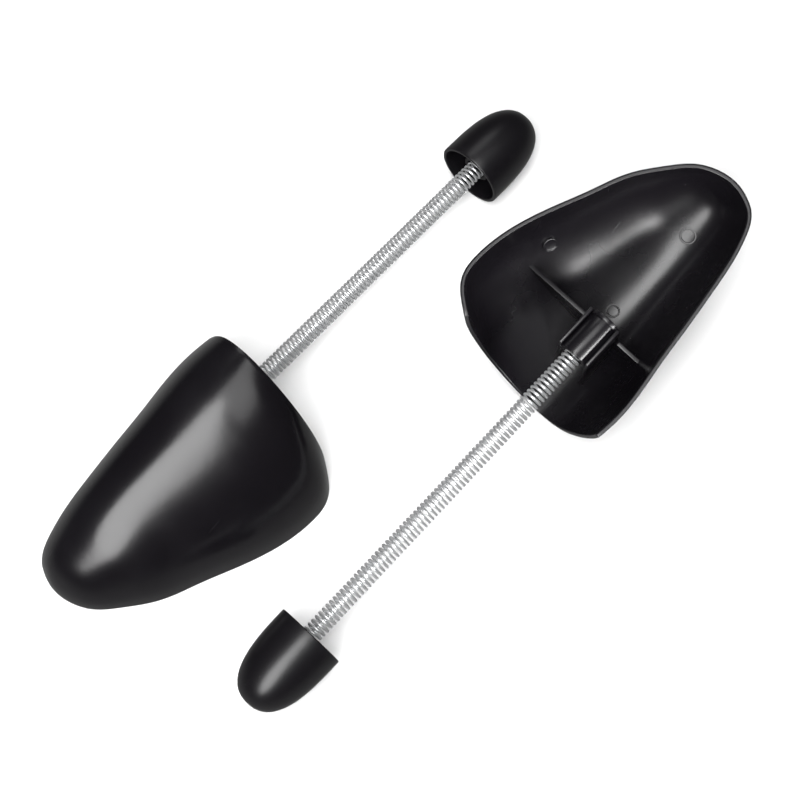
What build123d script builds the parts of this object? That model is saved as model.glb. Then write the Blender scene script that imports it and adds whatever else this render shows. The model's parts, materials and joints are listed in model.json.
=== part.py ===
from build123d import *
import math
import os

os.makedirs("parts", exist_ok=True)

# A pair of spring shoe stretchers, in millimetres. Each one is a hollow forepart for the
# toe of a shoe, a long open coil spring and a hollow heel cap. The left one stands on the
# rim of its forepart, and the right one lies on its back beside it, turned end for end.

# Forepart: a thin arched shell, open below and at the back, wider on its bulge side
forepart_length = 111
bulge_width = 53.4
straight_width = 31.1
arch_height = 49.2
forepart_wall = 1.8
nose_side_shift = 2

# Spring holder inside the forepart: a cross web high in the arch, and a boss that stands
# back from it as a tube between two cheeks
web_setback = 37
web_thickness = 1.8
web_edge_height = 25
boss_length = 17.6
boss_wall = 2.3
cheek_thickness = 1.4
cheek_inset = 0.5
cheek_rise = 6.4

# Spring
coil_diameter = 8.2
wire_diameter = 1.05
coil_count = 50
free_length = 147.8
bore_clearance = 0.1
end_clearance = 0.2

# Heel cap: a tapering shell with a round end, hollow, with a socket for the spring
cap_diameter = 29.2
cap_length = 35.3
cap_wall = 1.5
socket_wall = 1.8
socket_depth = 17
socket_recess = 4
cap_rim_rounding = 0.5

# How the pair lies
axis_spacing = 88.9
end_stagger = 16.8
roll_degrees = -5.5
yaw_degrees = -0.6

# Cuts run past what they cut by this much
overrun = 2

# Outline of the forepart along its length, from the back edge (0) to the nose (1), as
# shares: place, bulge side width, straight side width, height
section_shares = (
    (0.0, 0.74, 0.96, 1.0),
    (0.06, 0.9, 0.985, 1.0),
    (0.18, 0.989, 0.98, 0.985),
    (0.35, 0.94, 0.9, 0.905),
    (0.5, 0.83, 0.84, 0.825),
    (0.65, 0.7, 0.77, 0.74),
    (0.8, 0.555, 0.68, 0.6),
    (0.9, 0.395, 0.57, 0.45),
    (0.965, 0.25, 0.4, 0.3),
)
# The ridge lies off the spring's axis by this share of the straight side's width
ridge_share = 0.11
# Points of one arch from the rim up to the ridge, as shares of the half width
arch_point_shares = (1.0, 0.96, 0.85, 0.6, 0.3)
# How full each side of the arch is near its rim, and how round it is over the top
bulge_fullness = 0.5
bulge_roundness = 1.85
straight_fullness = 0.84
straight_roundness = 2.26
# The hollow ends where the arch is lower than this many walls
hollow_end_walls = 3.5
# Profile of the heel cap from its mouth (0) to its pole (1), as shares: place, radius
cap_profile_shares = (
    (0.0, 1.0),
    (0.3, 0.991),
    (0.5, 0.953),
    (0.65, 0.885),
    (0.78, 0.777),
    (0.88, 0.632),
    (0.95, 0.453),
    (0.985, 0.277),
    (1.0, 0.0),
)
# Curves are measured at this many points
curve_steps = 200

# Worked out from the sizes above
coil_radius = (coil_diameter - wire_diameter) / 2
wire_end_reach = math.hypot(coil_radius, wire_diameter) + wire_diameter / 2
bore_radius = wire_end_reach + bore_clearance
boss_radius = bore_radius + boss_wall
saddle_radius = boss_radius - cheek_inset + cheek_thickness
socket_radius = bore_radius + socket_wall
cap_radius = cap_diameter / 2
axis_height = cap_radius
boss_mouth = web_setback - boss_length
cap_mouth = boss_mouth - free_length
spring_front = web_setback - end_clearance
spring_back = cap_mouth - socket_depth + end_clearance
hollow_end_height = hollow_end_walls * forepart_wall


def arch_points(shares):
    """Points across the outside of the forepart at one place, from the bulge side's rim
    over the ridge to the straight side's rim, with the bulge at -y."""
    _, bulge_share, straight_share, height_share = shares
    height = arch_height * height_share
    ridge = straight_width * ridge_share
    bulge = bulge_width * bulge_share + ridge
    straight = straight_width * straight_share - ridge
    points = []
    for share in arch_point_shares:
        rise = (1 - share**bulge_roundness) ** bulge_fullness
        points.append((ridge - bulge * share, height * rise))
    points.append((ridge, height))
    for share in reversed(arch_point_shares):
        rise = (1 - share**straight_roundness) ** straight_fullness
        points.append((ridge + straight * share, height * rise))
    return points


def drawn_in(points, depth):
    """The same arch moved inwards by depth, with both feet carried on below the rim."""
    inner = []
    for i, (y, z) in enumerate(points):
        y_before, z_before = points[max(i - 1, 0)]
        y_after, z_after = points[min(i + 1, len(points) - 1)]
        run = math.hypot(y_after - y_before, z_after - z_before)
        inner.append(
            (
                y + depth * (z_after - z_before) / run,
                z - depth * (y_after - y_before) / run,
            )
        )
    for foot, neighbour in ((0, 1), (-1, -2)):
        y_foot, z_foot = inner[foot]
        y_next, z_next = inner[neighbour]
        drop = (z_foot + overrun) / (z_next - z_foot)
        inner[foot] = (y_foot - (y_next - y_foot) * drop, -overrun)
    return inner


def section_face(x, points, side):
    """A closed arch section across the length at x."""
    with BuildSketch(Plane.YZ.offset(x)) as section:
        with BuildLine():
            arch = Spline([(side * y, z) for y, z in points])
            Line(arch @ 1, arch @ 0)
        make_face()
    return section.sketch


def forepart_shape(side):
    """The forepart with its spring's axis along x and its rim on z = 0. A side of 1 has
    the bulge at -y, and a side of -1 has it at +y."""
    nose_y = side * nose_side_shift
    with BuildPart() as hollow:
        sections = []
        for shares in section_shares:
            if arch_height * shares[3] < hollow_end_height:
                continue
            x = forepart_length * shares[0]
            if x == 0:
                x = -overrun
            inner = drawn_in(arch_points(shares), forepart_wall)
            sections.append(section_face(x, inner, side))
        loft([*sections, Vertex(forepart_length - hollow_end_height / 2, nose_y, -overrun)])
        # The web closes the hollow above its straight edge, which arches over the boss
        with BuildSketch(Plane.YZ.offset(web_setback)):
            with Locations((0, web_edge_height)):
                Rectangle(
                    2 * (bulge_width + straight_width),
                    arch_height,
                    align=(Align.CENTER, Align.MIN),
                )
            with Locations((0, axis_height)):
                Circle(saddle_radius)
                Rectangle(2 * saddle_radius, arch_height, align=(Align.CENTER, Align.MIN))
        extrude(amount=web_thickness, mode=Mode.SUBTRACT)
        # The boss is a tube between two cheeks, which stand up to the roof of the shell
        with BuildSketch(Plane.YZ.offset(boss_mouth)):
            with Locations((0, axis_height - cheek_rise)):
                Rectangle(2 * saddle_radius, arch_height, align=(Align.CENTER, Align.MIN))
                Rectangle(
                    2 * (saddle_radius - cheek_thickness),
                    arch_height,
                    align=(Align.CENTER, Align.MIN),
                    mode=Mode.SUBTRACT,
                )
            with Locations((0, axis_height)):
                Circle(boss_radius)
        extrude(amount=boss_length, mode=Mode.SUBTRACT)
        with BuildSketch(Plane.YZ.offset(boss_mouth)):
            with Locations((0, axis_height)):
                Circle(bore_radius)
        extrude(amount=boss_length)
    with BuildPart() as forepart:
        sections = []
        for shares in section_shares:
            outer = drawn_in(arch_points(shares), 0)
            sections.append(section_face(forepart_length * shares[0], outer, side))
        loft([*sections, Vertex(forepart_length, nose_y, -overrun)])
        add(hollow.part, mode=Mode.SUBTRACT)
        # The rim is cut flat, to stand on
        with BuildSketch(Plane.XY):
            Rectangle(4 * forepart_length, 4 * bulge_width)
        extrude(amount=-2 * overrun, mode=Mode.SUBTRACT)
    return forepart.part


def cap_points(radius, length):
    """Points along one side of the heel cap's profile, from its mouth to its pole."""
    return [
        (cap_mouth - length * place, axis_height + radius * width)
        for place, width in cap_profile_shares
    ]


def cap_shape():
    """The heel cap, with its axis along x at the height of the spring's axis."""
    inner_radius = cap_radius - cap_wall
    with BuildPart() as cap:
        with BuildSketch(Plane.XZ):
            with BuildLine():
                outside = Spline(cap_points(cap_radius, cap_length), tangents=((-1, 0), (0, -1)))
                Polyline(outside @ 1, (cap_mouth, axis_height), outside @ 0)
            make_face()
        revolve(axis=Axis((0, 0, axis_height), (1, 0, 0)))
        with BuildSketch(Plane.XZ):
            with BuildLine():
                inside = Spline(
                    cap_points(inner_radius, cap_length - cap_wall), tangents=((-1, 0), (0, -1))
                )
                Polyline(
                    inside @ 1,
                    (cap_mouth + overrun, axis_height),
                    (cap_mouth + overrun, axis_height + inner_radius),
                    inside @ 0,
                )
            make_face()
            # The socket stands in the hollow, from the round end to near the mouth
            with Locations((cap_mouth - socket_recess, axis_height)):
                Rectangle(
                    cap_length,
                    socket_radius,
                    align=(Align.MAX, Align.MIN),
                    mode=Mode.SUBTRACT,
                )
        revolve(axis=Axis((0, 0, axis_height), (1, 0, 0)), mode=Mode.SUBTRACT)
        with BuildSketch(Plane.YZ.offset(cap_mouth - socket_depth)):
            with Locations((0, axis_height)):
                Circle(bore_radius)
        extrude(amount=socket_depth, mode=Mode.SUBTRACT)
        fillet(
            cap.edges()
            .filter_by(GeomType.CIRCLE)
            .group_by(Axis.X)[-1]
            .sort_by(SortBy.RADIUS)[-1],
            cap_rim_rounding,
        )
    return cap.part


def coil_place(turns):
    """The wire's centre after so many turns, and its direction there."""
    angle = 2 * math.pi * turns
    rise = (spring_front - spring_back - wire_diameter) / coil_count
    place = Vector(
        spring_back + wire_diameter / 2 + rise * turns,
        coil_radius * math.cos(angle),
        axis_height + coil_radius * math.sin(angle),
    )
    direction = Vector(
        rise / (2 * math.pi),
        -coil_radius * math.sin(angle),
        coil_radius * math.cos(angle),
    )
    return place, direction.normalized()


def spring_shape():
    """The spring as one round wire: each half turn is two arcs that meet in line, and
    each end runs straight for one wire diameter."""
    with BuildPart() as spring:
        with BuildLine() as wire:
            place, direction = coil_place(0)
            Line(place - direction * wire_diameter, place)
            for half in range(2 * coil_count):
                start, start_way = coil_place(half / 2)
                end, end_way = coil_place((half + 1) / 2)
                chord = end - start
                spread = 2 * (1 - start_way.dot(end_way))
                along = chord.dot(start_way + end_way)
                reach = (math.sqrt(along**2 + spread * chord.dot(chord)) - along) / spread
                start_knee = start + start_way * reach
                end_knee = end - end_way * reach
                middle = (start_knee + end_knee) / 2
                TangentArc(start, middle, tangent=start_way)
                TangentArc(middle, end, tangent=end_knee - start_knee)
            place, direction = coil_place(coil_count)
            Line(place, place + direction * wire_diameter)
        with BuildSketch(Plane(origin=wire.line @ 0, z_dir=wire.line % 0)):
            Circle(wire_diameter / 2)
        sweep(path=wire.line)
    return spring.part


def least_coil_gap():
    """The least gap between the wire and itself, measured from the points of one turn to
    the points from half a turn to two turns further on."""
    steps_per_turn = 48
    least = math.inf
    for near in range(steps_per_turn):
        for far in range(near + steps_per_turn // 2, near + 2 * steps_per_turn):
            apart = coil_place(far / steps_per_turn)[0] - coil_place(near / steps_per_turn)[0]
            least = min(least, apart.length)
    return least - wire_diameter


def resting_pitch():
    """How far the upturned stretcher tips, nose up, as it lies on the back edge of its
    arch and on its heel cap."""
    roll = math.radians(roll_degrees)
    back_edge = Spline(arch_points(section_shares[0]))
    cap_side = Spline(cap_points(cap_radius, cap_length), tangents=((-1, 0), (0, -1)))
    below = -math.inf
    for step in range(curve_steps + 1):
        point = back_edge @ (step / curve_steps)
        drop = (point.Y - axis_height) * math.cos(roll) - point.X * math.sin(roll)
        below = max(below, drop)
    pitch = math.inf
    for step in range(curve_steps + 1):
        point = cap_side @ (step / curve_steps)
        pitch = min(pitch, math.atan2(below - (point.Y - axis_height), -point.X))
    return math.degrees(pitch)


pitch_degrees = resting_pitch()
print("least gap between coils", round(least_coil_gap(), 3))
print("resting pitch", round(pitch_degrees, 2))
length_middle = (forepart_length + cap_mouth - cap_length) / 2
left_place = Location((length_middle - end_stagger / 2, axis_spacing / 2, 0)) * Location(
    (0, 0, 0), (0, 0, 180)
)
right_turn = (
    Location((0, 0, 0), (0, 0, yaw_degrees))
    * Location((0, 0, 0), (0, -pitch_degrees, 0))
    * Location((0, 0, 0), (180 - roll_degrees, 0, 0))
    * Location((0, 0, -axis_height))
)
lowest = min(
    forepart_shape(1).moved(right_turn).bounding_box().min.Z,
    cap_shape().moved(right_turn).bounding_box().min.Z,
)
right_place = (
    Location((end_stagger / 2 - length_middle, -axis_spacing / 2, -lowest)) * right_turn
)

pieces = {}
for name, side, place in (("left", -1, left_place), ("right", 1, right_place)):
    pieces[name + "_forepart"] = forepart_shape(side).moved(place)
    pieces[name + "_spring"] = spring_shape().moved(place)
    pieces[name + "_heel_cap"] = cap_shape().moved(place)

whole = Compound(children=list(pieces.values())).bounding_box()
centring = Location((-(whole.min.X + whole.max.X) / 2, -(whole.min.Y + whole.max.Y) / 2, 0))
for name, shape in pieces.items():
    with BuildPart() as piece:
        add(shape.moved(centring))
    piece.part.label = name
    export_step(piece.part, f"parts/{name}.step")
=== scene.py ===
import json
import math

import bmesh
import bpy
import numpy as np
from mathutils import Matrix, Quaternion, Vector


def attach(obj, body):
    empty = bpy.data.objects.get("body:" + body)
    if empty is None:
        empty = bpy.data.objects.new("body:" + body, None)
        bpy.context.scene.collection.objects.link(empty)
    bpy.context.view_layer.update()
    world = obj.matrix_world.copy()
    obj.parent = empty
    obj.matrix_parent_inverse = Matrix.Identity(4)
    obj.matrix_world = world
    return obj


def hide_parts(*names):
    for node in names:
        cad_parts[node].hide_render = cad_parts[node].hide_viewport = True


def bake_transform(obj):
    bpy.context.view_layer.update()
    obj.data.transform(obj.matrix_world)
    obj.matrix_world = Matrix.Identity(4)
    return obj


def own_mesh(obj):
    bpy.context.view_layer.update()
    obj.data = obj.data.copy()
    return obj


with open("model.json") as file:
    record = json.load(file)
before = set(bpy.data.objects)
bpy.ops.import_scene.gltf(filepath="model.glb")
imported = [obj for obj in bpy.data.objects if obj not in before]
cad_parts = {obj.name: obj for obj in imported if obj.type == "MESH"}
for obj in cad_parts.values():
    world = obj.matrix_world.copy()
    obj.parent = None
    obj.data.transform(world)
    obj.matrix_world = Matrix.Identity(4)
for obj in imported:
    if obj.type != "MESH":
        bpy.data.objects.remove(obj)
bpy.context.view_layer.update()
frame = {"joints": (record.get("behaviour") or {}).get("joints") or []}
bpy.ops.object.select_all(action="DESELECT")

# Sizes of one stretcher, in metres. Its own axes have x along the spring towards the
# toe, from the back edge of the forepart, y across, towards the straight side, and z up
# from the rim.

# Forepart
FOREPART_LENGTH = 0.111
BULGE_WIDTH = 0.0534
STRAIGHT_WIDTH = 0.0311
ARCH_HEIGHT = 0.0492
FOREPART_WALL = 0.0018
FOREPART_RIM_ROUNDING = 0.0004
# The rim's rounding fades out towards the nose, from this share of the length
ROUNDING_FADE = 0.09
# How far the ridge lies from the spring's axis
RIDGE_SHIFT = 0.11 * STRAIGHT_WIDTH
# An arch has the height (1 - share**roundness) ** fullness at a share of the way from
# the ridge to the rim
BULGE_ROUNDNESS, BULGE_FULLNESS = 1.85, 0.5
STRAIGHT_ROUNDNESS, STRAIGHT_FULLNESS = 2.26, 0.84
ARCH_POINT_SHARES = (1.0, 0.96, 0.85, 0.6, 0.3)
# Distance from the nose as a share of the length, bulge side, straight side, height
OUTLINE_SHARES = (
    (0.035, 0.25, 0.4, 0.3),
    (0.1, 0.395, 0.57, 0.45),
    (0.2, 0.555, 0.68, 0.6),
    (0.35, 0.7, 0.77, 0.74),
    (0.5, 0.83, 0.84, 0.825),
    (0.65, 0.94, 0.9, 0.905),
    (0.82, 0.989, 0.98, 0.985),
    (0.94, 0.9, 0.985, 1.0),
    (1.0, 0.74, 0.96, 1.0),
)
# The web and the boss that hold the spring
WEB_SETBACK = 0.037
WEB_THICKNESS = 0.0018
WEB_EDGE_HEIGHT = 0.025
WEB_TURN = 0.0015
BORE_RADIUS = 0.004351
BOSS_MOUTH = 0.0194
BOSS_WALL = 0.0023
BOSS_RADIUS = BORE_RADIUS + BOSS_WALL
CHEEK_THICKNESS = 0.0014
CHEEK_INSET = 0.0005
CHEEK_RISE = 0.0064
# The web's free edge arches over the boss and its cheeks
SADDLE_RADIUS = BOSS_RADIUS - CHEEK_INSET + CHEEK_THICKNESS
# Rounding of the edges of the web, the boss, its cheeks and the heel cap's socket
EDGE_ROUNDING = 0.0003
# Marks of the ejector pins inside: place along and across, radius, and how far out it
# stands
EJECTOR_PADS = (
    (0.0497, -0.0031, 0.0028, 0.0003),
    (0.0898, -0.0005, 0.0035, 0.0003),
    (0.0484, -0.0380, 0.0031, 0.0014),
)
# How far a pad goes into the wall, the rim round its dish as a share of its radius, how
# wide and how deep the dish's side is, and the rounding of its edges
PAD_ROOT = 0.6 * FOREPART_WALL
PAD_RIM_SHARE = 0.2
PAD_DISH_SLOPE = 0.0002
PAD_DISH_DEPTH = 0.0003
PAD_ROUNDING = 0.00012

# Spring
AXIS_HEIGHT = 0.0146
COIL_RADIUS = 0.003575
WIRE_RADIUS = 0.000525
SPRING_FRONT = 0.0368
SPRING_BACK = -0.1452
FRONT_TURNS = 59
BACK_TURNS = 33
COILED_LENGTH = SPRING_FRONT - SPRING_BACK - 2 * WIRE_RADIUS
TURN_LENGTH = COILED_LENGTH / (FRONT_TURNS + BACK_TURNS)
# Behind this place lie the back turns, and ahead of it the front turns
SPRING_SPLIT = SPRING_BACK + WIRE_RADIUS + BACK_TURNS * TURN_LENGTH

# Heel cap
CAP_MOUTH = -0.1284
CAP_RADIUS = 0.0146
CAP_LENGTH = 0.0353
CAP_WALL = 0.0015
CAP_RIM_ROUNDING = 0.0005
# Powers that make the dome's side fuller than a quarter of an ellipse
DOME_LENGTH_POWER, DOME_RADIUS_POWER = 0.625, 0.84
SOCKET_WALL = 0.0018
SOCKET_RADIUS = BORE_RADIUS + SOCKET_WALL
SOCKET_RECESS = 0.004
SOCKET_DEPTH = 0.017

# Joints
BEND_PIVOT = -0.03
PRESS_TRAVEL = 0.025

# How much of the plastic's edges is rubbed, and how dull it is inside and on the caps
FOREPART_RUBBED = 0.0012
CAP_RUBBED = 0.0008
INSIDE_SATIN = 0.5
CAP_SATIN = 1.2

# How finely the meshes are made
SHELL_COLUMNS, SHELL_ROWS = 120, 80
ARCH_PLACES = 600
FINE_SHARES = np.linspace(0, 1, 241)
WALL_SHARES = np.linspace(0, 1, 161)
DOME_STEPS = 48
CAP_STEPS = 96
BOSS_SIDES = 72
PAD_SIDES = 48
WIRE_SIDES = 10
COIL_STEPS = 28
# Nothing here is finer than this, so vertices closer together are one
MERGE_DISTANCE = 1e-6
# The arches shrink to a point at the nose, so the last one is taken this near to it
NEXT_TO_NOSE = 1e-9


# Materials


class Worked:
    """A number that a material works out: a socket with Python's operators on it."""

    def __init__(self, finish, socket):
        self.finish, self.socket = finish, socket

    def maths(self, operation, *others):
        made = self.finish.node("Math", {"operation": operation}, (self, *others))
        return Worked(self.finish, made.outputs[0])

    def __add__(self, other):
        return self.maths("ADD", other)

    def __mul__(self, other):
        return self.maths("MULTIPLY", other)

    def __sub__(self, other):
        return self.maths("SUBTRACT", other)

    def __rsub__(self, other):
        return self.maths("MULTIPLY_ADD", -1, other)

    def between(self, low, high):
        """0 below low, 1 above high, and smooth from one to the other."""
        settings = {"interpolation_type": "SMOOTHSTEP"}
        sockets = {"Value": self, "From Min": low, "From Max": high}
        made = self.finish.node("MapRange", settings, sockets)
        return Worked(self.finish, made.outputs[0])


class Finish:
    """One material and the nodes that make it."""

    def __init__(self, name):
        self.material = bpy.data.materials.new(name)
        self.material.use_nodes = True
        self.tree = self.material.node_tree
        self.shader = self.tree.nodes["Principled BSDF"]

    def node(self, kind, settings=None, sockets=None):
        """Any node: its type without ShaderNode, its settings, and what its sockets
        get, in order or by name."""
        made = self.tree.nodes.new("ShaderNode" + kind)
        for name, value in (settings or {}).items():
            setattr(made, name, value)
        if not isinstance(sockets, dict):
            sockets = dict(enumerate(sockets or ()))
        for name, value in sockets.items():
            self.join(made.inputs[name], value)
        return made

    def join(self, socket, value):
        """Gives a socket a number, a colour, or what another socket puts out."""
        if isinstance(value, Worked):
            value = value.socket
        if isinstance(value, bpy.types.NodeSocket):
            self.tree.links.new(value, socket)
        else:
            socket.default_value = value

    def object_places(self, scale=(1, 1, 1), turn=(0, 0, 0)):
        """The piece's own coordinates, stretched and turned."""
        places = self.node("TexCoord").outputs["Object"]
        sockets = {"Vector": places, "Scale": scale, "Rotation": turn}
        return self.node("Mapping", sockets=sockets).outputs[0]

    def attribute(self, name):
        """What the mesh says at each point under this name."""
        made = self.node("Attribute", {"attribute_name": name})
        return Worked(self, made.outputs["Fac"])

    def noise(self, places, scale, detail=2, roughness=0.5):
        sockets = {
            "Vector": places,
            "Scale": scale,
            "Detail": detail,
            "Roughness": roughness,
        }
        return Worked(self, self.node("TexNoise", sockets=sockets).outputs["Fac"])

    def cells(self, places, scale):
        """The distance to the nearest of many points strewn about."""
        made = self.node("TexVoronoi", sockets={"Vector": places, "Scale": scale})
        return Worked(self, made.outputs["Distance"])

    def mixed(self, share, first, second):
        """The first colour where share is 0 and the second where it is 1."""
        made = self.node("Mix", {"data_type": "RGBA"}, {"Factor": share})
        for name, colour in (("A", first), ("B", second)):
            socket = [s for s in made.inputs if s.name == name and s.type == "RGBA"][0]
            self.join(socket, (*colour, 1) if isinstance(colour, tuple) else colour)
        return [s for s in made.outputs if s.type == "RGBA"][0]

    def bump(self, height, distance, strength):
        sockets = {"Height": height, "Distance": distance, "Strength": strength}
        return self.node("Bump", sockets=sockets).outputs["Normal"]

    def finished(self, sockets):
        """The material, once the shader's own sockets have what they get."""
        for name, value in sockets.items():
            self.join(self.shader.inputs[name], value)
        return self.material


def black_plastic():
    """Glossy moulded plastic: faint orange peel, hair scratches, handling haze, a
    little dust, and a rubbed rim."""
    finish = Finish("black_plastic")
    black, hazy_black = (0.0035, 0.003, 0.004), (0.007, 0.0065, 0.008)
    rubbed_grey, dust_grey = (0.02, 0.02, 0.022), (0.12, 0.12, 0.12)
    places = finish.object_places()
    peel = finish.noise(places, scale=420, detail=1)
    swell = finish.noise(places, scale=55, detail=1)
    haze = finish.noise(places, scale=24, detail=4, roughness=0.6).between(0.42, 0.72)
    scratches, scratch_level = 0, 0.735
    for angle, reach in ((0.9, 0.018), (2.3, 0.014), (0.15, 0.012)):
        drawn_out = finish.object_places(scale=(14, 1100, 14), turn=(0, 0, angle))
        lines = finish.noise(drawn_out, scale=1, roughness=0.7)
        patches = finish.object_places(scale=(60, 60, 60), turn=(0, 0, angle))
        broken = finish.noise(patches, scale=1).between(0.55, 0.7)
        line = lines.between(scratch_level, scratch_level + reach)
        scratches = line * broken + scratches
    dusty = finish.noise(places, scale=130).between(0.62, 0.66)
    dust = (1 - finish.cells(places, scale=260).between(0.03, 0.055)) * dusty
    worn = finish.noise(places, scale=900, detail=3).between(0.45, 0.8)
    rubbed = finish.attribute("rim") * worn
    satin = finish.attribute("satin")
    colour = finish.mixed(haze * 0.35, black, hazy_black)
    colour = finish.mixed(rubbed * 0.3, colour, rubbed_grey)
    colour = finish.mixed(dust * 0.5, colour, dust_grey)
    height = peel * 0.35 + swell - scratches * 0.4
    return finish.finished(
        {
            "Base Color": colour,
            "Roughness": haze * 0.05 + scratches * 0.1 + dust * 0.3 + satin * 0.1 + 0.2,
            "IOR": 1.48,
            "Normal": finish.bump(height, distance=0.00006, strength=0.6),
        }
    )


def spring_steel():
    """Bright plated wire: fine lines from drawing along it, and a duller film in
    patches."""
    finish = Finish("spring_steel")
    bright, dull = (0.8, 0.81, 0.82), (0.55, 0.55, 0.55)
    along, around = finish.attribute("along"), finish.attribute("around")
    on_wire = finish.node("CombineXYZ", sockets=(along * 60, around * 9, 0)).outputs[0]
    drawn = finish.noise(on_wire, scale=1, detail=3, roughness=0.6)
    places = finish.object_places()
    film = finish.noise(places, scale=170, detail=3).between(0.4, 0.75)
    specks = finish.noise(places, scale=2600).between(0.62, 0.7)
    colour = finish.mixed(film * 0.5 + specks * 0.3, bright, dull)
    return finish.finished(
        {
            "Base Color": colour,
            "Metallic": 0.8,
            "Roughness": drawn * 0.12 + film * 0.1 + specks * 0.15 + 0.22,
            "Normal": finish.bump(drawn, distance=0.00002, strength=0.5),
        }
    )


# Shapes


def smooth_curve(knots, values, places):
    """A smooth line through the values at the knots, read at the places."""
    knots, values = np.array(knots, float), np.array(values, float)
    gaps, rises = np.diff(knots), np.diff(values) / np.diff(knots)
    count = len(knots)
    system, right_side = np.eye(count), np.zeros(count)
    for i in range(1, count - 1):
        system[i, i - 1 : i + 2] = gaps[i - 1], 2 * (gaps[i - 1] + gaps[i]), gaps[i]
        right_side[i] = 6 * (rises[i] - rises[i - 1])
    bends = np.linalg.solve(system, right_side)
    places = np.asarray(places, float)
    i = np.clip(np.searchsorted(knots, places) - 1, 0, count - 2)
    left, right = places - knots[i], knots[i + 1] - places
    return (
        bends[i] * right**3 / (6 * gaps[i])
        + bends[i + 1] * left**3 / (6 * gaps[i])
        + (values[i] / gaps[i] - bends[i] * gaps[i] / 6) * right
        + (values[i + 1] / gaps[i] - bends[i + 1] * gaps[i] / 6) * left
    )


def arc(centre, radius, start, end, steps):
    """Points of a circle about a centre, from one angle in degrees to another."""
    return [
        (centre[0] + radius * math.cos(angle), centre[1] + radius * math.sin(angle))
        for angle in np.linspace(math.radians(start), math.radians(end), steps + 1)
    ]


def outline_at(from_nose):
    """Bulge side, straight side and height at a share of the length from the nose.
    Each is a square root, which rounds the nose, times a smooth line."""
    knots = [row[0] for row in OUTLINE_SHARES]
    root = math.sqrt(from_nose)
    sizes = []
    for column, full in ((1, BULGE_WIDTH), (2, STRAIGHT_WIDTH), (3, ARCH_HEIGHT)):
        ratios = [row[column] / math.sqrt(row[0]) for row in OUTLINE_SHARES]
        ratio = smooth_curve(knots, ratios, max(from_nose, knots[0]))
        sizes.append(full * root * float(ratio))
    return sizes


def arch_line(from_nose, shares, depth=0.0):
    """Points across the forepart, moved inwards by depth. A share of 0 is the bulge
    side's rim and 1 the straight side's."""
    bulge, straight, height = outline_at(from_nose)
    ridge = RIDGE_SHIFT * min(1.0, straight / STRAIGHT_WIDTH)
    points = []
    for s in ARCH_POINT_SHARES:
        fullness = (1 - s**BULGE_ROUNDNESS) ** BULGE_FULLNESS
        points.append((ridge - (bulge + ridge) * s, height * fullness))
    points.append((ridge, height))
    for s in reversed(ARCH_POINT_SHARES):
        fullness = (1 - s**STRAIGHT_ROUNDNESS) ** STRAIGHT_FULLNESS
        points.append((ridge + (straight - ridge) * s, height * fullness))
    points = np.array(points)
    along = np.concatenate([[0], np.cumsum(np.hypot(*np.diff(points, axis=0).T))])
    fine = np.linspace(0, along[-1], ARCH_PLACES)
    y = smooth_curve(along, points[:, 0], fine)
    z = smooth_curve(along, points[:, 1], fine)
    y_way, z_way = np.gradient(y), np.gradient(z)
    run = np.hypot(y_way, z_way)
    y, z = y + depth * z_way / run, z - depth * y_way / run
    travelled = np.concatenate([[0], np.cumsum(np.hypot(np.diff(y), np.diff(z)))])
    at = shares * travelled[-1]
    return np.interp(at, travelled, y), np.interp(at, travelled, z)


# Modelling by hand


def open_for_shaping(piece):
    bpy.ops.object.select_all(action="DESELECT")
    bpy.context.view_layer.objects.active = piece
    piece.select_set(True)
    bpy.ops.object.mode_set(mode="EDIT")
    bpy.ops.mesh.select_mode(type="VERT")
    bpy.ops.mesh.select_all(action="SELECT")


def close_shaping():
    bpy.ops.object.mode_set(mode="OBJECT")


def newly_added(name):
    """The primitive that was just added, with its place in its mesh."""
    piece = bpy.context.object
    piece.name = piece.data.name = name
    bpy.ops.object.transform_apply(location=True, rotation=True, scale=True)
    return piece


def clean_up(piece):
    """Merges doubles and turns the faces outwards."""
    open_for_shaping(piece)
    bpy.ops.mesh.remove_doubles(threshold=MERGE_DISTANCE)
    bpy.ops.mesh.dissolve_degenerate(threshold=MERGE_DISTANCE)
    bpy.ops.mesh.select_all(action="SELECT")
    bpy.ops.mesh.normals_make_consistent(inside=False)
    close_shaping()


def apply_modifier(piece, kind, **settings):
    modifier = piece.modifiers.new(kind.title(), kind)
    for name, value in settings.items():
        setattr(modifier, name, value)
    bpy.context.view_layer.objects.active = piece
    bpy.ops.object.modifier_apply(modifier=modifier.name)


def smooth(piece, degrees):
    """Smooth shading, but across the edges that turn by more than so many degrees."""
    bpy.ops.object.select_all(action="DESELECT")
    bpy.context.view_layer.objects.active = piece
    piece.select_set(True)
    bpy.ops.object.shade_smooth_by_angle(angle=math.radians(degrees))


def joined(name, *parts):
    """The parts as one piece, which is the first of them."""
    bpy.ops.object.select_all(action="DESELECT")
    for part in parts:
        part.select_set(True)
    bpy.context.view_layer.objects.active = parts[0]
    bpy.ops.object.join()
    parts[0].name = parts[0].data.name = name
    return parts[0]


def weigh_sharp_edges(piece, degrees, weight_at):
    """Gives each sharp edge a bevel weight, which weight_at reads from the edge's
    middle."""
    mesh = bmesh.new()
    mesh.from_mesh(piece.data)
    layer = mesh.edges.layers.float.new("bevel_weight_edge")
    for edge in mesh.edges:
        if edge.is_manifold and edge.calc_face_angle(0) > math.radians(degrees):
            edge[layer] = weight_at((edge.verts[0].co + edge.verts[1].co) / 2)
    mesh.to_mesh(piece.data)
    mesh.free()


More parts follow.
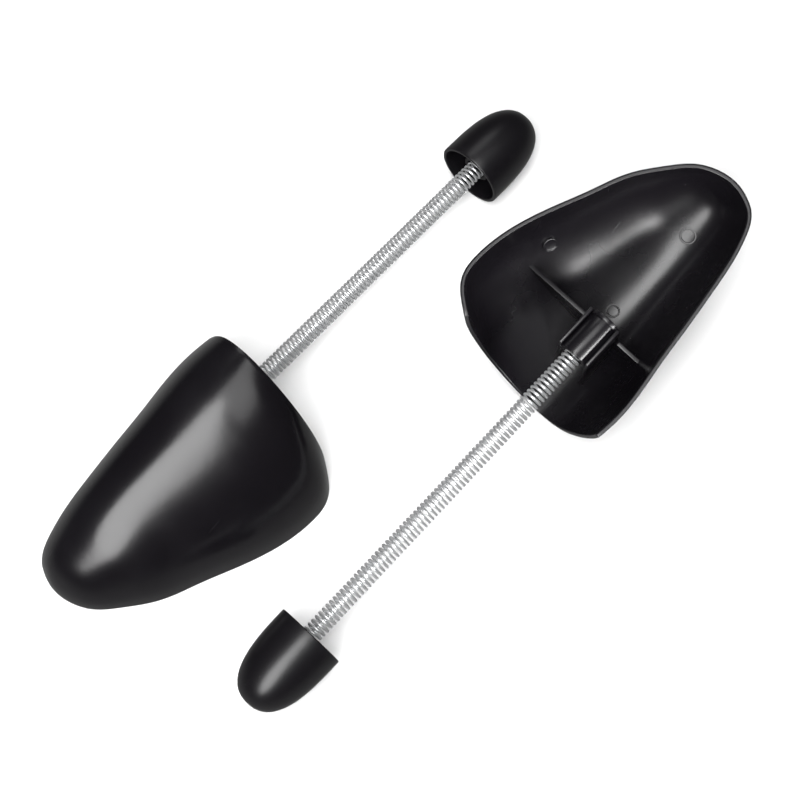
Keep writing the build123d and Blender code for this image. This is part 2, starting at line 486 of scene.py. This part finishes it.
def forepart_shell():
    """The arched shell: a grid bent over the arches, thickened, its rim rounded."""
    bpy.ops.mesh.primitive_grid_add(
        x_subdivisions=SHELL_COLUMNS, y_subdivisions=SHELL_ROWS, size=1
    )
    shell = newly_added("forepart_shell")
    shares = np.arange(SHELL_ROWS + 1) / SHELL_ROWS
    arches = {}
    for vertex in shell.data.vertices:
        column = round((vertex.co.x + 0.5) * SHELL_COLUMNS)
        row = round((vertex.co.y + 0.5) * SHELL_ROWS)
        # The arches lie closer together towards the nose
        from_nose = (1 - column / SHELL_COLUMNS) ** 2
        if column not in arches:
            arches[column] = arch_line(max(from_nose, NEXT_TO_NOSE), shares)
        y, z = arches[column][0][row], arches[column][1][row]
        vertex.co = (FOREPART_LENGTH * (1 - from_nose), y, z)
    clean_up(shell)
    outside = [vertex.co.copy() for vertex in shell.data.vertices]
    apply_modifier(
        shell,
        "SOLIDIFY",
        thickness=FOREPART_WALL,
        offset=-1,
        use_even_offset=True,
        use_quality_normals=True,
    )
    # The inner side stays above the rim, and its edge comes down level with the outer
    # side's
    for outer, vertex in zip(outside, shell.data.vertices[len(outside) :]):
        vertex.co.z = 0 if outer.z < MERGE_DISTANCE else max(vertex.co.z, outer.z / 2)
        if outer.x > FOREPART_LENGTH - MERGE_DISTANCE and outer.z < MERGE_DISTANCE:
            vertex.co = (FOREPART_LENGTH - FOREPART_WALL, 0, 0)

    def rounding_at(place):
        from_nose = max(0, 1 - place.x / FOREPART_LENGTH)
        return min(1.0, math.sqrt(from_nose / ROUNDING_FADE))

    weigh_sharp_edges(shell, degrees=50, weight_at=rounding_at)
    apply_modifier(
        shell,
        "BEVEL",
        width=FOREPART_RIM_ROUNDING,
        segments=3,
        limit_method="WEIGHT",
        use_clamp_overlap=False,
    )
    # The rounding's own points stay above the rim as well
    for vertex in shell.data.vertices:
        vertex.co.z = max(vertex.co.z, 0)
    clean_up(shell)
    return shell


def web_plate():
    """The cross web: a plate cut to the arch, its free edge arching over the boss."""
    from_nose = 1 - (WEB_SETBACK + WEB_THICKNESS / 2) / FOREPART_LENGTH
    y, z = arch_line(from_nose, FINE_SHARES, FOREPART_WALL / 2)
    kept = z > WEB_EDGE_HEIGHT
    outline = list(zip(y[kept], z[kept]))
    # The free edge goes back to the bulge side, down and round the boss on its way
    turn_centre = (SADDLE_RADIUS + WEB_TURN, WEB_EDGE_HEIGHT - WEB_TURN)
    half = arc(turn_centre, WEB_TURN, 90, 180, 8)
    half += arc((0, AXIS_HEIGHT), SADDLE_RADIUS, 0, -90, 14)
    outline += half + [(-y, z) for y, z in reversed(half[:-1])]
    bpy.ops.mesh.primitive_circle_add(vertices=len(outline), fill_type="NGON")
    web = newly_added("web_plate")
    for vertex, (y, z) in zip(web.data.vertices, outline):
        vertex.co = (WEB_SETBACK, y, z)
    open_for_shaping(web)
    bpy.ops.mesh.extrude_region_move(
        TRANSFORM_OT_translate={"value": (WEB_THICKNESS, 0, 0)}
    )
    close_shaping()
    clean_up(web)
    apply_modifier(
        web, "BEVEL", width=EDGE_ROUNDING, segments=2, angle_limit=math.radians(60)
    )
    return web


def roof_height(x, y, depth):
    """Height of the forepart's arch over a place, moved inwards by depth."""
    arch_y, arch_z = arch_line(1 - x / FOREPART_LENGTH, FINE_SHARES, depth)
    return float(np.interp(y, arch_y, arch_z))


def boss_tube():
    """The tube that takes the spring, with a cheek on each side up to the roof."""
    length = WEB_SETBACK + WEB_THICKNESS / 2 - BOSS_MOUTH
    bpy.ops.mesh.primitive_cylinder_add(
        vertices=BOSS_SIDES,
        radius=BOSS_RADIUS,
        depth=length,
        end_fill_type="NOTHING",
        location=(BOSS_MOUTH + length / 2, 0, AXIS_HEIGHT),
        rotation=(0, math.pi / 2, 0),
    )
    tube = newly_added("boss_tube")
    clean_up(tube)
    apply_modifier(tube, "SOLIDIFY", thickness=BOSS_RADIUS - BORE_RADIUS, offset=-1)
    apply_modifier(
        tube, "BEVEL", width=EDGE_ROUNDING, segments=3, angle_limit=math.radians(60)
    )
    cheeks = []
    for side in (-1, 1):
        bpy.ops.mesh.primitive_cube_add(size=1)
        cheek = newly_added("boss_cheek")
        for vertex in cheek.data.vertices:
            x = BOSS_MOUTH if vertex.co.x < 0 else BOSS_MOUTH + length
            inner_side = vertex.co.y * side < 0
            y = side * (SADDLE_RADIUS - (CHEEK_THICKNESS if inner_side else 0))
            top = roof_height(x, y, FOREPART_WALL / 2)
            vertex.co = (x, y, top if vertex.co.z > 0 else AXIS_HEIGHT - CHEEK_RISE)
        clean_up(cheek)
        apply_modifier(cheek, "BEVEL", width=EDGE_ROUNDING, segments=2)
        cheeks.append(cheek)
    return joined("boss", tube, *cheeks)


def ejector_pad(name, x, y, radius, rise):
    """A round mark inside, where a pin pushed the moulding off its mould: a low pad
    square to the wall, with a shallow dish in its end."""
    step = 0.001
    along = roof_height(x + step, y, 0) - roof_height(x - step, y, 0)
    across = roof_height(x, y + step, 0) - roof_height(x, y - step, 0)
    inwards = Vector((along, across, -2 * step))
    depth = FOREPART_WALL * inwards.length / inwards.yz.length
    inwards.normalize()
    inside = Vector((x, y, roof_height(x, y, depth)))
    length = rise + PAD_ROOT
    bpy.ops.mesh.primitive_cylinder_add(
        vertices=PAD_SIDES,
        radius=radius,
        depth=length,
        location=inside + inwards * (rise - length / 2),
        rotation=inwards.to_track_quat("Z", "Y").to_euler(),
    )
    pad = newly_added(name)
    open_for_shaping(pad)
    bpy.ops.mesh.select_mode(type="FACE")
    bpy.ops.mesh.select_all(action="DESELECT")
    close_shaping()
    for face in pad.data.polygons:
        face.select = face.normal.dot(inwards) > 0.9
    bpy.ops.object.mode_set(mode="EDIT")
    bpy.ops.mesh.inset(thickness=radius * PAD_RIM_SHARE, depth=0)
    bpy.ops.mesh.inset(thickness=PAD_DISH_SLOPE, depth=-PAD_DISH_DEPTH)
    close_shaping()
    clean_up(pad)
    apply_modifier(
        pad, "BEVEL", width=PAD_ROUNDING, segments=2, angle_limit=math.radians(40)
    )
    return pad


def forepart():
    """One whole forepart, with its bulge at -y."""
    pads = []
    for i, (x, y, radius, rise) in enumerate(EJECTOR_PADS):
        pads.append(ejector_pad(f"ejector_pad_{i}", x, y, radius, rise))
    made = joined("forepart", forepart_shell(), web_plate(), boss_tube(), *pads)
    smooth(made, degrees=40)
    rim = made.data.attributes.new("rim", "FLOAT", "POINT")
    satin = made.data.attributes.new("satin", "FLOAT", "POINT")
    # The middle of the wall, for each thousandth of the length that is asked for
    walls = {}
    for i, vertex in enumerate(made.data.vertices):
        x, y, z = vertex.co
        share = min(round(x / FOREPART_LENGTH, 3), 0.999)
        if share not in walls:
            walls[share] = arch_line(1 - share, WALL_SHARES, FOREPART_WALL / 2)
        wall_y, wall_z = walls[share]
        under = wall_y[0] < y < wall_y[-1] and z < np.interp(y, wall_y, wall_z)
        satin.data[i].value = INSIDE_SATIN if under else 0.0
        rim.data[i].value = max(0.0, 1 - min(x, z) / FOREPART_RUBBED)
    return made


def cap_profile():
    """The heel cap's half section as (place along the axis, radius), from the pole of
    its dome round the mouth and the socket to the middle of the socket's floor."""

    def dome(angle, depth):
        """A place on the tapering, rounded side, from the pole at 0 to the mouth."""
        place = CAP_MOUTH - (CAP_LENGTH - depth) * math.cos(angle) ** DOME_LENGTH_POWER
        return place, (CAP_RADIUS - depth) * math.sin(angle) ** DOME_RADIUS_POWER

    angles = [math.pi / 2 * i / DOME_STEPS for i in range(DOME_STEPS)]
    points = [dome(angle, 0) for angle in angles]
    turn = CAP_RIM_ROUNDING
    points += arc((CAP_MOUTH - turn, CAP_RADIUS - turn), turn, 90, 0, 4)
    turn, inner = EDGE_ROUNDING, CAP_RADIUS - CAP_WALL
    points += arc((CAP_MOUTH - turn, inner + turn), turn, 0, -90, 3)
    inside = [dome(angle, CAP_WALL) for angle in reversed(angles)]
    points += [(place, radius) for place, radius in inside if radius > SOCKET_RADIUS]
    foot_angle = math.asin((SOCKET_RADIUS / inner) ** (1 / DOME_RADIUS_POWER))
    foot = dome(foot_angle, CAP_WALL)[0]
    mouth = CAP_MOUTH - SOCKET_RECESS
    floor = CAP_MOUTH - SOCKET_DEPTH
    return points + [
        (foot, SOCKET_RADIUS),
        (mouth - turn, SOCKET_RADIUS),
        (mouth, SOCKET_RADIUS - turn),
        (mouth, BORE_RADIUS + turn),
        (mouth - turn, BORE_RADIUS),
        (floor, BORE_RADIUS),
        (floor, 0),
    ]


def heel_cap():
    """The heel cap, spun from its half section."""
    profile = cap_profile()
    bpy.ops.mesh.primitive_circle_add(vertices=len(profile), fill_type="NOTHING")
    cap = newly_added("heel_cap")
    for vertex, (place, radius) in zip(cap.data.vertices, profile):
        vertex.co = (place, radius, AXIS_HEIGHT)
    # The edge along the axis, between the last point and the first, goes
    last = len(profile) - 1
    for edge in cap.data.edges:
        edge.select = set(edge.vertices) == {0, last}
    for vertex in cap.data.vertices:
        vertex.select = vertex.index in (0, last)
    bpy.context.view_layer.objects.active = cap
    bpy.ops.object.mode_set(mode="EDIT")
    bpy.ops.mesh.select_mode(type="EDGE")
    bpy.ops.mesh.delete(type="EDGE")
    bpy.ops.mesh.select_mode(type="VERT")
    bpy.ops.mesh.select_all(action="SELECT")
    bpy.ops.mesh.spin(
        steps=CAP_STEPS, angle=2 * math.pi, center=(0, 0, AXIS_HEIGHT), axis=(1, 0, 0)
    )
    close_shaping()
    clean_up(cap)
    smooth(cap, degrees=40)
    rim = cap.data.attributes.new("rim", "FLOAT", "POINT")
    satin = cap.data.attributes.new("satin", "FLOAT", "POINT")
    for i, vertex in enumerate(cap.data.vertices):
        radius = math.hypot(vertex.co.y, vertex.co.z - AXIS_HEIGHT)
        at_mouth = vertex.co.x > CAP_MOUTH - CAP_RUBBED and radius > SOCKET_RADIUS
        rim.data[i].value = 1.0 if at_mouth else 0.0
        satin.data[i].value = CAP_SATIN
    return cap


def coil(name, first_turn, turns):
    """So many turns of the spring's wire, from the first turn, counted from its heel
    end."""
    start = SPRING_BACK + WIRE_RADIUS + first_turn * TURN_LENGTH
    bpy.ops.mesh.primitive_circle_add(
        vertices=WIRE_SIDES, radius=WIRE_RADIUS, location=(start, COIL_RADIUS, 0)
    )
    wire = newly_added(name)
    apply_modifier(
        wire,
        "SCREW",
        axis="X",
        angle=2 * math.pi,
        screw_offset=TURN_LENGTH,
        iterations=turns,
        steps=COIL_STEPS,
        render_steps=COIL_STEPS,
        use_merge_vertices=False,
    )
    open_for_shaping(wire)
    bpy.ops.mesh.fill_holes(sides=WIRE_SIDES)
    close_shaping()
    clean_up(wire)
    # Each point's place on the wire: along it, in centimetres, and around it
    points = np.array([v.co for v in wire.data.vertices])
    angle = np.arctan2(points[:, 2], points[:, 1]) / (2 * math.pi)
    whole = np.round((points[:, 0] - start) / TURN_LENGTH - angle)
    off_centre = points[:, 0] - start - (whole + angle) * TURN_LENGTH
    outwards = np.hypot(points[:, 1], points[:, 2]) - COIL_RADIUS
    values = {
        "along": (whole + angle + first_turn) * 2 * math.pi * COIL_RADIUS * 100,
        "around": np.arctan2(outwards, off_centre) / math.pi,
    }
    for key, numbers in values.items():
        attribute = wire.data.attributes.new(key, "FLOAT", "POINT")
        attribute.data.foreach_set("value", numbers.astype(np.float32))
    wire.data.transform(Matrix.Translation((0, 0, AXIS_HEIGHT)))
    smooth(wire, degrees=50)
    return wire


# The pair

joints = {joint["name"]: joint for joint in frame["joints"]}


def stretcher_place(name, upright):
    """One stretcher's own axes in the frame, from the joints of its spring."""
    bend, press = joints[f"{name}_spring_bend"], joints[f"{name}_spring_press"]
    ahead = Vector(press["axis"]).normalized()
    across = Vector(bend["axis"]).normalized() * (1 if upright else -1)
    up = ahead.cross(across)
    place = Matrix((ahead, across, up)).transposed().to_4x4()
    place.translation = Vector(bend["pos_m"]) - ahead * BEND_PIVOT - up * AXIS_HEIGHT
    return place


def set_out(model, name, place, mirrored=False):
    """A copy of a model with its own mesh, put in its place in the frame. The upright
    stretcher's mouldings are mirrored."""
    piece = bpy.data.objects.new(name, model.data.copy())
    bpy.context.scene.collection.objects.link(piece)
    if mirrored:
        piece.data.transform(Matrix.Diagonal((1, -1, 1, 1)))
        piece.data.flip_normals()
    piece.data.transform(place)
    piece.data.name = name
    return piece


plastic, steel = black_plastic(), spring_steel()
models = {
    "forepart": forepart(),
    "heel_cap": heel_cap(),
    "spring_front": coil("spring_front", BACK_TURNS, FRONT_TURNS),
    "spring_back": coil("spring_back", 0, BACK_TURNS),
}
for name, model in models.items():
    model.data.materials.clear()
    model.data.materials.append(steel if "spring" in name else plastic)

for side, upright in (("left", True), ("right", False)):
    place = stretcher_place(side, upright)
    for part in ("forepart", "heel_cap"):
        piece = set_out(models[part], f"{side}_{part}_moulding", place, upright)
        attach(piece, f"{side}_{part}_body")
        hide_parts(f"{side}_{part}")
    front = set_out(models["spring_front"], f"{side}_spring_front_coils", place)
    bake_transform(front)
    back = set_out(models["spring_back"], f"{side}_spring_back_coils", place)
    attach(back, f"{side}_spring_body")
    1 - PRESS_TRAVEL / (SPRING_SPLIT - SPRING_BACK)
    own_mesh(back)
    for piece in (front, back):
        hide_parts(f"{side}_spring")

for model in models.values():
    bpy.data.objects.remove(model)

# Floor, light and camera

FLOOR_SIZE = 6
FLOOR_GREY = 0.8

bpy.ops.mesh.primitive_plane_add(size=FLOOR_SIZE)
floor = newly_added("floor")
floor_sockets = {"Base Color": (*[FLOOR_GREY] * 3, 1), "Roughness": 0.9}
floor.data.materials.append(Finish("pale_floor").finished(floor_sockets))
floor.visible_glossy = False


def soft_light(name, place, towards, size, watts, shape="RECTANGLE"):
    """A soft light at a place, facing another, which the camera doesn't see."""
    light = bpy.data.lights.new(name, "AREA")
    light.shape, light.energy = shape, watts
    light.size, light.size_y = size
    lamp = bpy.data.objects.new(name, light)
    bpy.context.scene.collection.objects.link(lamp)
    lamp.location = place
    lamp.rotation_mode = "QUATERNION"
    facing = Vector(towards) - Vector(place)
    lamp.rotation_quaternion = facing.to_track_quat("-Z", "Y")
    lamp.visible_camera = False
    return lamp


soft_light(
    "main_softbox",
    place=(-0.75, -0.24, 1.03),
    towards=(0, 0, 0),
    size=(0.66, 1.7),
    watts=28,
    shape="ELLIPSE",
)
soft_light(
    "main_end",
    place=(0.14, -0.17, 1.16),
    towards=(0.14, -0.17, 0),
    size=(0.52, 0.6),
    watts=3.2,
)
soft_light(
    "back_softbox",
    place=(0.55, 0.58, 1.0),
    towards=(0, 0, 0),
    size=(0.4, 0.4),
    watts=1.0,
)
# A low strip lights the hollow of the upturned forepart only
low_strip = soft_light(
    "low_strip",
    place=(0.03, -0.42, 0.19),
    towards=(0.1, -0.02, 0.03),
    size=(0.5, 0.08),
    watts=4.0,
)
lit_by_strip = bpy.data.collections.new("lit_by_low_strip")
lit_by_strip.objects.link(bpy.data.objects["right_forepart_moulding"])
low_strip.light_linking.receiver_collection = lit_by_strip
# Lights the floor evenly and stays out of the gloss
fill = soft_light("fill", place=(0, 0, 1.6), towards=(0, 0, 0), size=(2, 2), watts=24)
fill.visible_glossy = False

# The room is dim above and lighter towards the floor
ROOM_ABOVE, ROOM_BELOW = 0.045, 0.28
FALLOFF_BOTTOM, FALLOFF_TOP = -0.4, 0.1
# The camera, which sees it past the floor's edge, sees it as pale as the floor
ROOM_SEEN = 0.95

world = bpy.data.worlds.new("studio")
world.use_nodes = True
nodes, links = world.node_tree.nodes, world.node_tree.links
heading, parts = nodes.new("ShaderNodeTexCoord"), nodes.new("ShaderNodeSeparateXYZ")
links.new(heading.outputs["Generated"], parts.inputs[0])
falloff = nodes.new("ShaderNodeMapRange")
falloff.interpolation_type = "SMOOTHSTEP"
falloff.inputs["From Min"].default_value = FALLOFF_BOTTOM
falloff.inputs["From Max"].default_value = FALLOFF_TOP
falloff.inputs["To Min"].default_value = ROOM_BELOW
falloff.inputs["To Max"].default_value = ROOM_ABOVE
links.new(parts.outputs["Z"], falloff.inputs[0])
ray, seen = nodes.new("ShaderNodeLightPath"), nodes.new("ShaderNodeMix")
links.new(ray.outputs["Is Camera Ray"], seen.inputs["Factor"])
links.new(falloff.outputs[0], seen.inputs["A"])
seen.inputs["B"].default_value = ROOM_SEEN
links.new(seen.outputs["Result"], nodes["Background"].inputs["Strength"])
nodes["Background"].inputs["Color"].default_value = (1, 1, 1, 1)
bpy.context.scene.world = world
bpy.context.scene.view_settings.view_transform = "Standard"

CAMERA_AZIMUTH = math.radians(-48.078)
CAMERA_ELEVATION = math.radians(69.811)
CAMERA_ROLL = math.radians(1.117)
CAMERA_DISTANCE = 0.834
CAMERA_LENS, CAMERA_SENSOR = 92.7, 36
CAMERA_SHIFT = (0.0082, 0.0139)
# It looks at a point between the two, taken from the back edge of the left one
CAMERA_TARGET = Vector((0.03475, -0.04445, 0))

camera_data = bpy.data.cameras.new("camera")
camera_data.lens, camera_data.sensor_width = CAMERA_LENS, CAMERA_SENSOR
camera_data.shift_x, camera_data.shift_y = CAMERA_SHIFT
camera = bpy.data.objects.new("camera", camera_data)
bpy.context.scene.collection.objects.link(camera)
target = stretcher_place("left", True).translation + CAMERA_TARGET
back = Vector(
    (
        math.sin(CAMERA_AZIMUTH) * math.cos(CAMERA_ELEVATION),
        -math.cos(CAMERA_AZIMUTH) * math.cos(CAMERA_ELEVATION),
        math.sin(CAMERA_ELEVATION),
    )
)
camera.location = target + back * CAMERA_DISTANCE
camera.rotation_mode = "QUATERNION"
camera.rotation_quaternion = (-back).to_track_quat("-Z", "Y") @ Quaternion(
    (0, 0, 1), CAMERA_ROLL
)
bpy.context.scene.camera = camera
